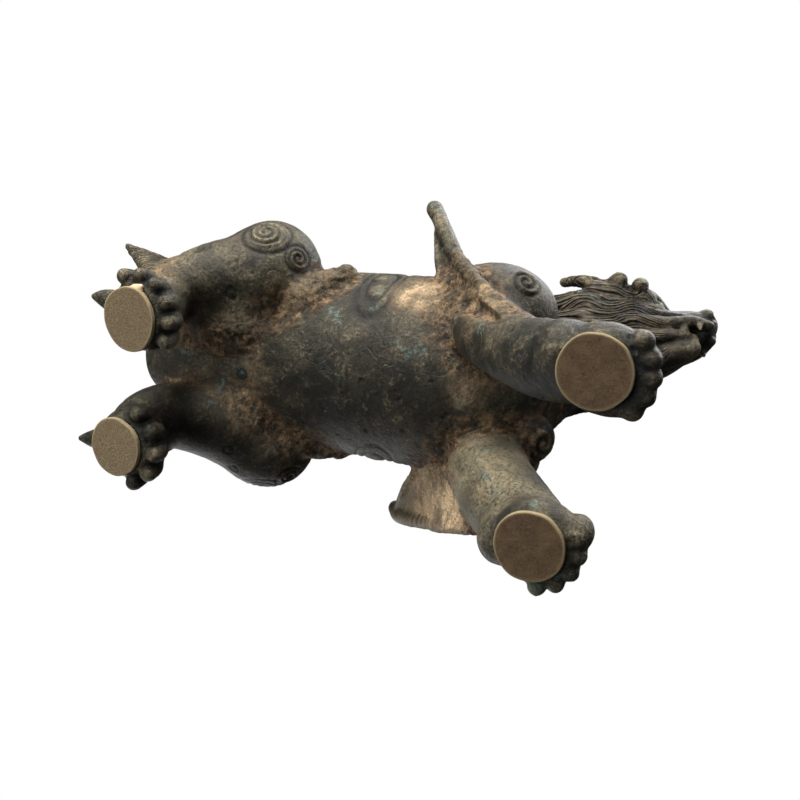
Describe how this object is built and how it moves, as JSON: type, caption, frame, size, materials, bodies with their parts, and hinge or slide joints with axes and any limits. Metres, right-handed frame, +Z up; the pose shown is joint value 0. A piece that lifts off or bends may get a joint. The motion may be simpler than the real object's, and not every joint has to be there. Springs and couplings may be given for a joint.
{
  "type": "foo dog statue",
  "caption": "Standing winged foo dog statue in dark patinated bronze, with a turned maned head, shoulder plumes, rounded haunches and felt pads under its paws.",
  "frame": {"origin": "middle of the footprint of the whole statue's box, on the surface that it stands on", "axes": "+Z up, the head towards -Y, the animal's left side towards +X"},
  "size_m": [0.1808, 0.2898, 0.1843],
  "materials": {
    "bronze": "dark green-black patina over cast bronze, ochre dust in the recesses",
    "felt": "pressed wool felt",
    "glue": "dried contact glue"
  },
  "bodies": {
    "root": {"body_shell": "bronze", "core_pin_plugs": "bronze", "front_left_leg": "bronze", "front_left_pad": "felt", "front_right_leg": "bronze", "front_right_pad": "felt", "head": "bronze", "head_peg": "bronze", "left_ear": "bronze", "left_hock_tuft": "bronze", "left_plume": "bronze", "leg_pegs": "bronze", "lower_jaw": "bronze", "neck_mane": "bronze", "neck_peg": "bronze", "pad_glue": "glue", "rear_left_leg": "bronze", "rear_left_pad": "felt", "rear_right_leg": "bronze", "rear_right_pad": "felt", "right_ear": "bronze", "right_hock_tuft": "bronze", "right_plume": "bronze", "tail": "bronze", "tail_peg": "bronze"}
  },
  "joints": []
}
